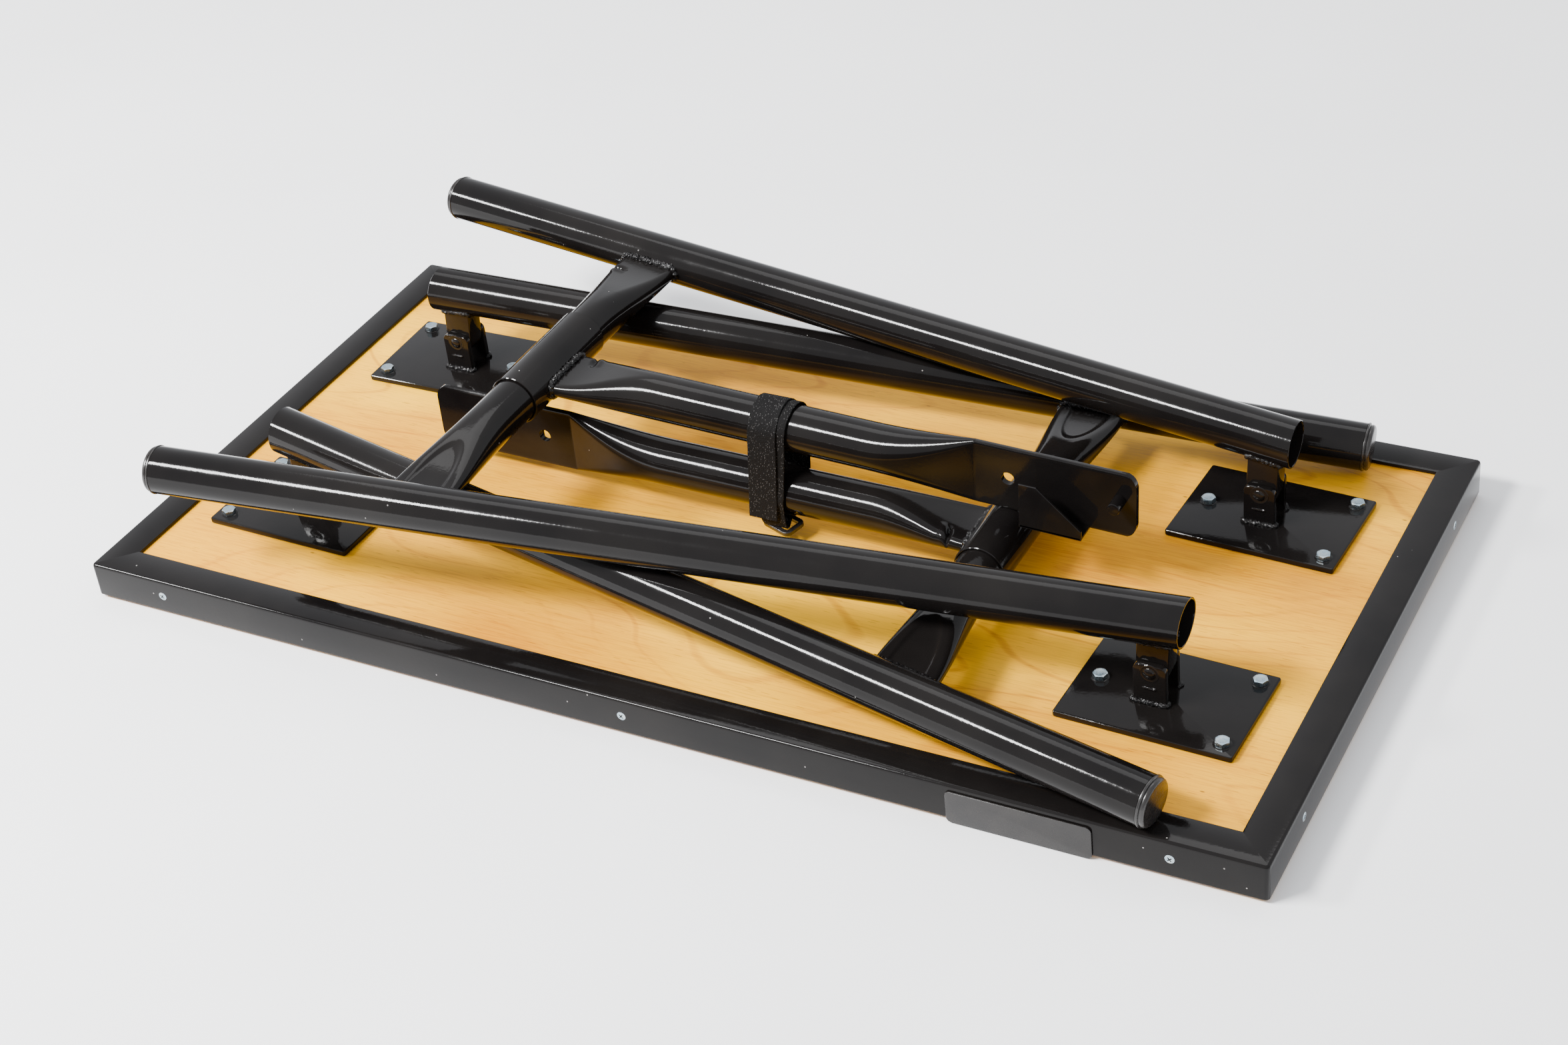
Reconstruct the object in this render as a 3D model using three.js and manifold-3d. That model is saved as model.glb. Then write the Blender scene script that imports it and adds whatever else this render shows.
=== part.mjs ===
// A folding workbench lying on its work face with both leg frames folded flat.
// Millimetres. +Z is up, the origin is the centre of the work face, +X runs along the long side.
// The upper leg frame hinges at the right end, the lower one at the left end.

import * as THREE from 'three';
import { mergeVertices } from 'three/addons/utils/BufferGeometryUtils.js';
import Module from 'manifold-3d';

const wasm = await Module();
wasm.setup();

// ---- driving dimensions -------------------------------------------------------------------------

const GAP = 0.3;                 // clearance between neighbouring solids
const TOP_LENGTH = 1000;
const TOP_WIDTH = 508;
const PANEL_THICKNESS = 29.7;
const RAIL_HEIGHT = 30;
const RAIL_FLANGE = 28.6;        // flange that laps over the panel
const RAIL_WALL = 3;
const RAIL_BOTTOM = 3;           // the work face stands this far proud of the frame
const RAIL_TOP = RAIL_BOTTOM + RAIL_HEIGHT;

const PLATE_THICKNESS = 5;
const PLATE_LENGTH = 137;
const PLATE_WIDTH = 97;
const PLATE_SHIFT = 7.5;         // plate centre, outboard of the hinge pin
const PLATE_BOTTOM = PANEL_THICKNESS + GAP;
const PLATE_TOP = PLATE_BOTTOM + PLATE_THICKNESS;
const BOLT_PLACES = [[-51.8, 0], [56.8, 36.8], [56.8, -36.8]];   // outboard of the plate centre, across

const PIN_X = 366;               // hinge pins, from the middle of the top
const PIN_HEIGHT = 27;           // above the plate
const PIN_Z = PLATE_TOP + PIN_HEIGHT;
const PIN_RADIUS = 4;
const EAR_WIDTH = 25;
const EAR_THICKNESS = 5;
const EAR_ABOVE_PIN = 7;
const STUB_WIDTH = 18;

const TUBE_RADIUS = 19.05;
const TUBE_WALL = 1.5;
const TUBE_OFFSET = 42.4;        // leg tube axis, outside the pin
const OVERHANG = 21.6;           // tube end beyond the pin: it butts on the plate when open
const CROSSBAR_ALONG = 570;

// y: hinge bracket, tube: its tube's axis over the pin, splay: sideways per unit along the leg,
// foot: end of the steel from the pin, turn and shift: how far the plate sits off square and inboard
const RIGHT = {
  name: 'right',
  side: 1,
  rest: 2.33,
  front: { y: -109, tube: -113, splay: 0.1606, foot: 780, turn: -1.8, shift: 0 },
  rear: { y: 124.2, tube: 129.4, splay: 0.1101, foot: 786, turn: -2.6, shift: 2.7 },
};
const LEFT = {
  name: 'left',
  side: -1,
  rest: -3.81,
  front: { y: -120.3, tube: -124.2, splay: 0.1498, foot: 775, turn: -0.9, shift: 0 },
  rear: { y: 113.6, tube: 118, splay: 0.1224, foot: 782, turn: 0.9, shift: 1.4 },
};
const OPEN_LEAN = 4.7;           // degrees that an open leg leans outwards

const SLEEVE_RADIUS = 21;
const SLEEVE_LENGTH = 107;
const SLEEVE_SHIFT = 6;          // sleeve centre behind its brace
const BRACE_PLACES = { right: { y: -1, tilt: -1.7 }, left: { y: -10, tilt: 0.5 } };
const CREASE_ALONG = 383;
const PLATE_END_ALONG = 513;
const HOLE_ALONG = 410;
const HOLE_RAISE = 0.5;
const STUD_RAISE = 4.5;           // above the hole, as the open braces meet a little past straight
const BLADE_THICKNESS = 5;
const BLADE_HALF_HEIGHT = 29;

const STRAP_X = 13;
const STRAP_WIDTH = 25;
const STRAP_THICKNESS = 2.2;

const rad = THREE.MathUtils.degToRad;

// the sleeves stand this far apart when both leg frames are open, so each stud meets the other hole
const OPEN_SPAN = 2 * (PIN_X + CROSSBAR_ALONG * Math.sin(rad(OPEN_LEAN)) + TUBE_OFFSET * Math.cos(rad(OPEN_LEAN)));
const STUD_ALONG = OPEN_SPAN - HOLE_ALONG;

// ---- materials ----------------------------------------------------------------------------------

const blackPaint = new THREE.MeshStandardMaterial({ color: 0x15120f, roughness: 0.2, metalness: 0.1 });
const plywood = new THREE.MeshStandardMaterial({ color: 0xdca755, roughness: 0.45, metalness: 0 });
const zinc = new THREE.MeshStandardMaterial({ color: 0xc5d2d6, roughness: 0.35, metalness: 0.9 });
const blackPlastic = new THREE.MeshStandardMaterial({ color: 0x1a1815, roughness: 0.35, metalness: 0 });
const webbing = new THREE.MeshStandardMaterial({ color: 0x1d1b19, roughness: 0.9, metalness: 0 });

const bench = new THREE.Group();

function addMesh(parent, name, geometry, material) {
  const mesh = new THREE.Mesh(geometry, material);
  mesh.name = name;
  parent.add(mesh);
  return mesh;
}

// ---- solid helpers ------------------------------------------------------------------------------

function weld(geometry) {
  const bare = geometry.clone();
  bare.deleteAttribute('normal');
  bare.deleteAttribute('uv');
  return mergeVertices(bare, 1e-4);
}

function toSolid(geometry) {
  const welded = weld(geometry);
  const index = welded.index.array;
  const triVerts = [];
  for (let i = 0; i < index.length; i += 3) {
    const [a, b, c] = [index[i], index[i + 1], index[i + 2]];
    if (a !== b && b !== c && c !== a) triVerts.push(a, b, c);
  }
  const vertProperties = new Float32Array(welded.attributes.position.array);
  return new wasm.Manifold(new wasm.Mesh({ numProp: 3, vertProperties, triVerts: new Uint32Array(triVerts) }));
}

function toGeometry(solid) {
  const mesh = solid.getMesh();
  const geometry = new THREE.BufferGeometry();
  geometry.setAttribute('position', new THREE.BufferAttribute(mesh.vertProperties, 3));
  geometry.setIndex(new THREE.BufferAttribute(mesh.triVerts, 1));
  geometry.computeVertexNormals();
  return geometry;
}

function subtractAll(geometry, cutters) {
  return toGeometry(cutters.reduce((solid, cutter) => solid.subtract(toSolid(cutter)), toSolid(geometry)));
}

function joinAll(geometries) {
  return toGeometry(geometries.map(toSolid).reduce((a, b) => a.add(b)));
}

function box(x0, x1, y0, y1, z0, z1) {
  return new THREE.BoxGeometry(x1 - x0, y1 - y0, z1 - z0)
    .translate((x0 + x1) / 2, (y0 + y1) / 2, (z0 + z1) / 2);
}

// a cylinder along Y, centred on the origin
function rodY(radius, length, sides = 24) {
  return new THREE.CylinderGeometry(radius, radius, length, sides);
}

// a shape drawn in X-Z and extruded along Y from y0 to y1
function extrudeXZ(shape, y0, y1, curveSegments = 8) {
  return new THREE.ExtrudeGeometry(shape, { depth: y1 - y0, bevelEnabled: false, curveSegments })
    .rotateX(Math.PI / 2)
    .translate(0, y1, 0);
}

function roundHole(x, y, radius) {
  const hole = new THREE.Path();
  hole.absarc(x, y, radius, 0, 2 * Math.PI, true);
  return hole;
}

// ---- worktop ------------------------------------------------------------------------------------

const RAIL_SCREW_Z = RAIL_BOTTOM + 15;
const SCREW_PLACES = [
  ...[-430, 0, 430].map((x) => ({ x, y: -TOP_WIDTH / 2, turn: 0 })),
  ...[-430, 0, 430].map((x) => ({ x, y: TOP_WIDTH / 2, turn: Math.PI })),
  ...[-181, 181].map((y) => ({ x: TOP_LENGTH / 2, y, turn: Math.PI / 2 })),
  ...[-181, 181].map((y) => ({ x: -TOP_LENGTH / 2, y, turn: -Math.PI / 2 })),
];

// a countersunk screw driven along +Y from its head at the origin; grow widens it into its hole
function screwShape(grow = 0) {
  const head = 4 + grow;
  const shank = 2 + grow;
  const profile = [[0, -grow], [head, -grow], [head, 0.2], [shank, 2.4], [shank, 18 + grow], [0, 18 + grow]];
  return new THREE.LatheGeometry(profile.map(([r, y]) => new THREE.Vector2(r, y)), 12);
}

function screwAt({ x, y, turn }, geometry) {
  return geometry.rotateZ(turn).translate(x, y, RAIL_SCREW_Z);
}

const screwHoles = SCREW_PLACES.map((place) => screwAt(place, screwShape(GAP)));

const BOLT_DEPTH = 20;
const BRACKETS = [];
for (const leg of [RIGHT, LEFT]) {
  for (const end of ['front', 'rear']) {
    const { y, turn, shift } = leg[end];
    BRACKETS.push({ leg, y, name: `${leg.name}_${end}`, turn: rad(turn), x: PIN_X + PLATE_SHIFT - shift });
  }
}

// a point on a hinge plate, which is set a little askew under its square ears
function platePoint(bracket, out, across) {
  const { side } = bracket.leg;
  return new THREE.Vector3(side * out, across, PLATE_TOP)
    .applyAxisAngle(new THREE.Vector3(0, 0, 1), bracket.turn)
    .add(new THREE.Vector3(side * bracket.x, bracket.y, 0));
}

// a rod along Z with its top at z1
function rodZ(radius, z0, z1, sides = 12) {
  return new THREE.CylinderGeometry(radius, radius, z1 - z0, sides).rotateX(Math.PI / 2).translate(0, 0, (z0 + z1) / 2);
}

const boltHoles = [];
for (const bracket of BRACKETS) {
  for (const place of BOLT_PLACES) {
    const at = platePoint(bracket, ...place);
    boltHoles.push(rodZ(3 + GAP, PLATE_BOTTOM - BOLT_DEPTH - GAP, PLATE_TOP + 2).translate(at.x, at.y, 0));
  }
}

function worktopPanel() {
  const inset = RAIL_WALL + GAP;
  const slab = box(
    -TOP_LENGTH / 2 + inset, TOP_LENGTH / 2 - inset,
    -TOP_WIDTH / 2 + inset, TOP_WIDTH / 2 - inset,
    0, PANEL_THICKNESS,
  );
  return subtractAll(slab, [...screwHoles, ...boltHoles]);
}

// an angle rail along +X with its outer face at y = 0 and mitred ends, then turned into place
function angleRail(length) {
  const profile = new THREE.Shape();
  profile.moveTo(0, RAIL_BOTTOM);
  profile.lineTo(0, RAIL_TOP);
  profile.lineTo(RAIL_FLANGE, RAIL_TOP);
  profile.lineTo(RAIL_FLANGE, RAIL_TOP - RAIL_WALL);
  profile.lineTo(RAIL_WALL, RAIL_TOP - RAIL_WALL);
  profile.lineTo(RAIL_WALL, RAIL_BOTTOM);
  profile.closePath();
  const rail = new THREE.ExtrudeGeometry(profile, { depth: 2, bevelEnabled: false })
    .translate(0, 0, -1)
    .applyMatrix4(new THREE.Matrix4().makeBasis(
      new THREE.Vector3(0, 1, 0), new THREE.Vector3(0, 0, 1), new THREE.Vector3(1, 0, 0)));
  const place = rail.attributes.position;
  for (let i = 0; i < place.count; i += 1) {
    place.setX(i, Math.sign(place.getX(i)) * (length / 2 - place.getY(i) - GAP));
  }
  return rail;
}

function addWorktop() {
  addMesh(bench, 'worktop_panel', worktopPanel(), plywood);
  const rails = [
    ['front_rail', TOP_LENGTH, 0, -TOP_WIDTH / 2, 0],
    ['right_rail', TOP_WIDTH, TOP_LENGTH / 2, 0, Math.PI / 2],
    ['rear_rail', TOP_LENGTH, 0, TOP_WIDTH / 2, Math.PI],
    ['left_rail', TOP_WIDTH, -TOP_LENGTH / 2, 0, -Math.PI / 2],
  ];
  for (const [name, length, x, y, turn] of rails) {
    const rail = angleRail(length).rotateZ(turn).translate(x, y, 0);
    addMesh(bench, name, subtractAll(rail, screwHoles), blackPaint);
  }
  SCREW_PLACES.forEach((place, i) => {
    addMesh(bench, `rail_screw_${String(i + 1).padStart(2, '0')}`, screwAt(place, screwShape()), zinc);
  });
}

function addBadge() {
  const [x0, x1, z0, z1, corner] = [264, 374, 0.4, 28.4, 4];
  const plate = new THREE.Shape();
  plate.moveTo(x0, z1);
  plate.lineTo(x0, z0 + corner);
  plate.absarc(x0 + corner, z0 + corner, corner, Math.PI, 1.5 * Math.PI, false);
  plate.absarc(x1 - corner, z0 + corner, corner, 1.5 * Math.PI, 2 * Math.PI, false);
  plate.lineTo(x1, z1);
  plate.closePath();
  const face = -TOP_WIDTH / 2 - GAP;
  addMesh(bench, 'badge_plate', extrudeXZ(plate, face - 1.5, face), blackPlastic);
}

// ---- hinge brackets -----------------------------------------------------------------------------

// one ear, drawn about the pin
function earShape() {
  const half = EAR_WIDTH / 2;
  const corner = 5;
  const ear = new THREE.Shape();
  ear.moveTo(-half, -PIN_HEIGHT - 2);
  ear.lineTo(half, -PIN_HEIGHT - 2);
  ear.lineTo(half, EAR_ABOVE_PIN - corner);
  ear.absarc(half - corner, EAR_ABOVE_PIN - corner, corner, 0, Math.PI / 2, false);
  ear.absarc(corner - half, EAR_ABOVE_PIN - corner, corner, Math.PI / 2, Math.PI, false);
  ear.closePath();
  ear.holes.push(roundHole(0, 0, PIN_RADIUS + GAP));
  return ear;
}

function bracketGeometry(bracket) {
  const { side } = bracket.leg;
  const inner = STUB_WIDTH / 2 + GAP;
  const plate = box(-PLATE_LENGTH / 2, PLATE_LENGTH / 2, -PLATE_WIDTH / 2, PLATE_WIDTH / 2, PLATE_BOTTOM, PLATE_TOP)
    .rotateZ(bracket.turn)
    .translate(side * bracket.x, bracket.y, 0);
  const ears = [[-inner - EAR_THICKNESS, -inner], [inner, inner + EAR_THICKNESS]].map(([y0, y1]) => (
    extrudeXZ(earShape(), y0, y1).translate(side * PIN_X, bracket.y, PIN_Z)));
  return subtractAll(joinAll([plate, ...ears]), boltHoles);
}

// a hexagon bolt with its washerless head standing on the plate
function boltGeometry(at) {
  const head = new THREE.CylinderGeometry(5.77, 5.77, 4, 6).rotateX(Math.PI / 2).translate(0, 0, PLATE_TOP + GAP + 2);
  const shank = rodZ(3, PLATE_BOTTOM - BOLT_DEPTH, PLATE_TOP + GAP + 1);
  return joinAll([head, shank]).translate(at.x, at.y, 0);
}

function pinGeometry() {
  const reach = STUB_WIDTH / 2 + GAP + EAR_THICKNESS + GAP;
  const head = 5.5;
  const profile = [
    [0, -reach - 1.5], [head, -reach - 1.5], [head, -reach], [PIN_RADIUS, -reach],
    [PIN_RADIUS, reach], [head, reach], [head, reach + 1.5], [0, reach + 1.5],
  ];
  return new THREE.LatheGeometry(profile.map(([r, y]) => new THREE.Vector2(r, y)), 16);
}

function addBrackets() {
  for (const bracket of BRACKETS) {
    addMesh(bench, `${bracket.name}_hinge_bracket`, bracketGeometry(bracket), blackPaint);
    BOLT_PLACES.forEach((place, i) => {
      addMesh(bench, `${bracket.name}_plate_bolt_${i + 1}`, boltGeometry(platePoint(bracket, ...place)), zinc);
    });
    const pin = addMesh(bench, `${bracket.name}_hinge_pin`, pinGeometry(), blackPaint);
    pin.position.set(bracket.leg.side * PIN_X, bracket.y, PIN_Z);
  }
}

// ---- leg frames ---------------------------------------------------------------------------------

// Leg frames are drawn along +X from the hinge pin, with Z away from the top when folded.
// The right frame is the same drawing turned half round, so its front tube lies on local +Y.
function legTubes(leg) {
  return ['front', 'rear'].map((end) => {
    const { y, tube, splay, foot } = leg[end];
    const outward = -leg.side * Math.sign(tube);
    return {
      end,
      foot,
      stubY: -leg.side * y,
      y: -leg.side * tube,
      turn: outward * Math.atan(splay),
      slope: outward * splay,
    };
  });
}

// moves a shape drawn along +X from the pin's foot onto a tube's axis
function ontoTube(geometry, tube) {
  return geometry.rotateZ(tube.turn).translate(0, tube.y, TUBE_OFFSET);
}

function tubeGeometry(tube, radius, wall, from, to) {
  const ring = new THREE.Shape();
  ring.absarc(0, 0, radius, 0, 2 * Math.PI, false);
  if (wall > 0) ring.holes.push(roundHole(0, 0, radius - wall));
  const stretch = 1 / Math.cos(tube.turn);
  const depth = (to - from) * stretch;
  const tubeBody = new THREE.ExtrudeGeometry(ring, { depth, bevelEnabled: false, curveSegments: 12 })
    .rotateY(Math.PI / 2)
    .translate(from * stretch, 0, 0);
  return ontoTube(tubeBody, tube);
}

function stubGeometry(tube) {
  const half = EAR_WIDTH / 2;
  const top = TUBE_OFFSET - TUBE_RADIUS + 9;
  const stub = new THREE.Shape();
  stub.absarc(0, 0, half, Math.PI, 2 * Math.PI, false);
  stub.lineTo(half, top);
  stub.lineTo(-half, top);
  stub.closePath();
  stub.holes.push(roundHole(0, 0, PIN_RADIUS + GAP));
  const body = extrudeXZ(stub, -STUB_WIDTH / 2, STUB_WIDTH / 2).translate(0, tube.stubY, 0);
  return subtractAll(body, [tubeGeometry(tube, TUBE_RADIUS + GAP, 0, -60, 60)]);
}

// a push-in plug with a collar and a shallow dome
function capGeometry(tube) {
  const bore = TUBE_RADIUS - TUBE_WALL - GAP;
  const profile = [
    [0, -15], [bore, -15], [bore, GAP], [19.5, GAP], [19.5, 2.2], [18.4, 2.6], [18.4, 5.2], [17.2, 6.2], [0, 6.2],
  ];
  const cap = new THREE.LatheGeometry(profile.map(([r, y]) => new THREE.Vector2(r, y)), 24)
    .rotateZ(-Math.PI / 2)
    .translate(tube.foot / Math.cos(tube.turn), 0, 0);
  return ontoTube(cap, tube);
}

// squashes a round bar along Y into a flat blade over the given length at both ends
function crushEnds(geometry, y0, y1, length, halfWidth, halfThickness) {
  const place = geometry.attributes.position;
  for (let i = 0; i < place.count; i += 1) {
    const y = place.getY(i);
    const round = THREE.MathUtils.smoothstep(Math.min(y - y0, y1 - y), 0, length);
    place.setX(i, place.getX(i) * THREE.MathUtils.lerp(halfWidth / TUBE_RADIUS, 1, round));
    place.setZ(i, place.getZ(i) * THREE.MathUtils.lerp(halfThickness / TUBE_RADIUS, 1, round));
  }
  return geometry;
}

function crossbarGeometry(tubes) {
  const ends = tubes.map((tube) => tube.y + tube.slope * CROSSBAR_ALONG);
  const inset = TUBE_RADIUS - 5;
  const y0 = Math.min(...ends) + inset;
  const y1 = Math.max(...ends) - inset;
  const bar = new THREE.CylinderGeometry(TUBE_RADIUS, TUBE_RADIUS, y1 - y0, 24, 12).translate(0, (y0 + y1) / 2, 0);
  crushEnds(bar, y0, y1, 110, 27, 5);
  bar.translate(CROSSBAR_ALONG, 0, TUBE_OFFSET);
  return subtractAll(bar, tubes.map((tube) => tubeGeometry(tube, TUBE_RADIUS + GAP, 0, 480, 660)));
}

function addLegFrame(leg) {
  const frame = new THREE.Group();
  frame.position.set(leg.side * PIN_X, 0, PIN_Z);
  frame.rotation.set(0, -rad(leg.rest), leg.side > 0 ? Math.PI : 0, 'ZYX');
  bench.add(frame);
  const tubes = legTubes(leg);
  for (const tube of tubes) {
    const pipe = tubeGeometry(tube, TUBE_RADIUS, TUBE_WALL, -OVERHANG - 6, tube.foot);
    const offcut = box(-60, -OVERHANG, tube.y - 60, tube.y + 60, 0, 100);
    addMesh(frame, `${leg.name}_leg_${tube.end}_tube`, subtractAll(pipe, [offcut]), blackPaint);
    addMesh(frame, `${leg.name}_leg_${tube.end}_stub`, stubGeometry(tube), blackPaint);
    addMesh(frame, `${leg.name}_leg_${tube.end}_foot_cap`, capGeometry(tube), blackPlastic);
  }
  addMesh(frame, `${leg.name}_leg_crossbar`, crossbarGeometry(tubes), blackPaint);
}

// ---- braces -------------------------------------------------------------------------------------

function sleeveCentre(leg) {
  const lean = rad(leg.rest);
  const inward = CROSSBAR_ALONG * Math.cos(lean) - TUBE_OFFSET * Math.sin(lean);
  const x = leg.side * (PIN_X - inward);
  const z = PIN_Z + CROSSBAR_ALONG * Math.sin(lean) + TUBE_OFFSET * Math.cos(lean);
  return new THREE.Vector3(x, BRACE_PLACES[leg.name].y, z);
}

function sleeveGeometry(leg) {
  const ring = new THREE.Shape();
  ring.absarc(0, 0, SLEEVE_RADIUS, 0, 2 * Math.PI, false);
  ring.holes.push(roundHole(0, 0, TUBE_RADIUS + GAP));
  const shift = leg.side * SLEEVE_SHIFT;
  return extrudeXZ(ring, shift - SLEEVE_LENGTH / 2, shift + SLEEVE_LENGTH / 2, 16);
}

// half sizes of the brace across (Y) and up (Z) at a distance along it
function braceSection(along) {
  const mix = THREE.MathUtils.lerp;
  const atSleeve = THREE.MathUtils.smoothstep(along, 20, 105);
  const atCrease = THREE.MathUtils.smoothstep(along, 285, CREASE_ALONG);
  const y = mix(mix(27, TUBE_RADIUS, atSleeve), BLADE_THICKNESS / 2, atCrease);
  const z = mix(mix(5.5, TUBE_RADIUS, atSleeve), BLADE_HALF_HEIGHT - 2, atCrease);
  return { y, z };
}

function braceTube() {
  const start = 14;
  const bar = new THREE.CylinderGeometry(1, 1, CREASE_ALONG - start, 24, 18)
    .rotateZ(-Math.PI / 2)
    .translate((CREASE_ALONG + start) / 2, 0, 0);
  const place = bar.attributes.position;
  for (let i = 0; i < place.count; i += 1) {
    const half = braceSection(place.getX(i));
    place.setY(i, place.getY(i) * half.y);
    place.setZ(i, place.getZ(i) * half.z);
  }
  return bar;
}

// the flat blade past the crease, a little taller towards its rounded end
function bladeGeometry() {
  const corner = 13;
  const tall = BLADE_HALF_HEIGHT;
  const low = BLADE_HALF_HEIGHT - 2;
  const blade = new THREE.Shape();
  blade.moveTo(CREASE_ALONG - 3, -low);
  blade.lineTo(PLATE_END_ALONG - corner, -tall);
  blade.absarc(PLATE_END_ALONG - corner, corner - tall, corner, -Math.PI / 2, 0, false);
  blade.absarc(PLATE_END_ALONG - corner, tall - corner, corner, 0, Math.PI / 2, false);
  blade.lineTo(CREASE_ALONG - 3, low);
  blade.closePath();
  blade.holes.push(roundHole(HOLE_ALONG, HOLE_RAISE, 5.5));
  return extrudeXZ(blade, -BLADE_THICKNESS / 2, BLADE_THICKNESS / 2);
}

function braceGeometry() {
  return subtractAll(joinAll([braceTube(), bladeGeometry()]), [rodY(SLEEVE_RADIUS + GAP, 200)]);
}

function studGeometry() {
  const start = BLADE_THICKNESS / 2 + GAP;
  const length = 14;
  const profile = [[0, 0], [5, 0], [5, length - 1], [4, length], [0, length]];
  return new THREE.LatheGeometry(profile.map(([r, y]) => new THREE.Vector2(r, y)), 16)
    .rotateX(Math.PI)
    .translate(STUD_ALONG, -start, STUD_RAISE);
}

// a tray under the blade's lower edge with a sloping upright lip that catches the other blade
function catchGeometry() {
  const [start, step, end] = [426, 440, 476];
  const wall = 3;
  const outer = -BLADE_THICKNESS / 2 - 17.5;
  const bottom = -BLADE_HALF_HEIGHT + 0.8;
  const lip = new THREE.Shape();
  lip.moveTo(start, bottom);
  lip.lineTo(end, bottom);
  lip.lineTo(end, bottom + 8);
  lip.lineTo(step, bottom + 39);
  lip.lineTo(start, bottom + 39);
  lip.closePath();
  const tray = box(start, end, outer, -BLADE_THICKNESS / 2 - GAP, bottom, bottom + wall);
  return joinAll([extrudeXZ(lip, outer, outer + wall), tray]);
}

function addBrace(leg) {
  const brace = new THREE.Group();
  brace.position.copy(sleeveCentre(leg));
  brace.rotation.set(0, -rad(BRACE_PLACES[leg.name].tilt), leg.side > 0 ? 0 : Math.PI, 'ZYX');
  bench.add(brace);
  addMesh(brace, `${leg.name}_brace_sleeve`, sleeveGeometry(leg), blackPaint);
  addMesh(brace, `${leg.name}_brace_bar`, braceGeometry(), blackPaint);
  addMesh(brace, `${leg.name}_brace_stud`, studGeometry(), blackPaint);
  addMesh(brace, `${leg.name}_brace_catch`, catchGeometry(), blackPaint);
}

// ---- strap --------------------------------------------------------------------------------------

// where a brace's axis passes through the strap
function braceCentreAtStrap(leg) {
  const sleeve = sleeveCentre(leg);
  const along = Math.abs(STRAP_X - sleeve.x);
  return new THREE.Vector2(sleeve.y, sleeve.z + along * Math.tan(rad(BRACE_PLACES[leg.name].tilt)));
}

function stadium(radius, length) {
  const outline = new THREE.Shape();
  outline.absarc(0, length, radius, 0, Math.PI, false);
  outline.absarc(0, 0, radius, Math.PI, 2 * Math.PI, false);
  outline.closePath();
  return outline;
}

// turns a shape drawn in X-Y, X across the strap loop, into a slab STRAP_WIDTH long on the X axis
function ontoStrap(geometry, lower, tilt) {
  return geometry
    .applyMatrix4(new THREE.Matrix4().makeBasis(
      new THREE.Vector3(0, 1, 0), new THREE.Vector3(0, 0, 1), new THREE.Vector3(1, 0, 0)))
    .rotateX(-tilt)
    .translate(STRAP_X, lower.x, lower.y);
}

function addStrap() {
  const upper = braceCentreAtStrap(RIGHT);
  const lower = braceCentreAtStrap(LEFT);
  const run = upper.clone().sub(lower);
  const tilt = Math.atan2(run.x, run.y);
  const inner = TUBE_RADIUS + 2 * GAP;
  const band = stadium(inner + STRAP_THICKNESS, run.length());
  band.holes.push(stadium(inner, run.length()));
  const strap = new THREE.ExtrudeGeometry(band, { depth: STRAP_WIDTH, bevelEnabled: false, curveSegments: 16 })
    .translate(0, 0, -STRAP_WIDTH / 2);
  addMesh(bench, 'hook_and_loop_strap', ontoStrap(strap, lower, tilt), webbing);

  addMesh(bench, 'strap_loop', strapLoop(lower), blackPlastic);
}

// the rectangular loop that lies nearly level under the lower brace
function strapLoop(lower) {
  const [halfX, halfY, rim, thickness] = [15.1, 10.3, 3.8, 3.4];
  const ring = rectangle(new THREE.Shape(), halfX, halfY);
  ring.holes.push(rectangle(new THREE.Path(), -halfX + rim, halfY - rim));
  return new THREE.ExtrudeGeometry(ring, { depth: thickness, bevelEnabled: false })
    .translate(0, 0, -thickness / 2)
    .rotateX(rad(5))
    .rotateZ(rad(-20))
    .translate(STRAP_X + 6, lower.x - 11.5, lower.y - 26);
}

function rectangle(outline, halfX, halfY) {
  outline.moveTo(-halfX, -halfY);
  outline.lineTo(halfX, -halfY);
  outline.lineTo(halfX, halfY);
  outline.lineTo(-halfX, halfY);
  outline.closePath();
  return outline;
}

addWorktop();
addBadge();
addBrackets();
for (const leg of [RIGHT, LEFT]) {
  addLegFrame(leg);
  addBrace(leg);
}
addStrap();

export default bench;
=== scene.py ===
"""The looks of a folding workbench that lies on its work face, with both leg frames folded flat.

Shapes are written in millimetres and become metres in add_piece. The worktop's are in the part's frame.
Leg frames are drawn along local +X from the hinge pin, and braces along local +X from their sleeve.
"""
from math import atan, cos, exp, pi, radians, sin, sqrt, tan

import bmesh
import bpy
from mathutils import Matrix, Vector, noise


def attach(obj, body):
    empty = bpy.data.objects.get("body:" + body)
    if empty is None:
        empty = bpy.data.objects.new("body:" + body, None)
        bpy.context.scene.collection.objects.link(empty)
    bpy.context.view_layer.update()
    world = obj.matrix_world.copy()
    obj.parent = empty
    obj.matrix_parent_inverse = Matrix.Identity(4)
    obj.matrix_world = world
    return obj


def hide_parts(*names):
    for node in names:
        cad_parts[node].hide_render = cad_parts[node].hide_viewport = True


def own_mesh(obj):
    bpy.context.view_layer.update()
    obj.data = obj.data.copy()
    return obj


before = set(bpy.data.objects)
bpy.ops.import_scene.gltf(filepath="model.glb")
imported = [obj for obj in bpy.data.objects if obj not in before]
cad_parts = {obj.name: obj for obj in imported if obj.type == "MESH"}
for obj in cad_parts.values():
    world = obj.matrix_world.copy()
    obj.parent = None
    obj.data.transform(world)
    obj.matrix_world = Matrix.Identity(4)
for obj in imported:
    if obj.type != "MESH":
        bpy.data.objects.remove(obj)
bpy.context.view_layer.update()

MM = 0.001

# ---- dimensions, the same as the part's ----------------------------------------------------------

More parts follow.
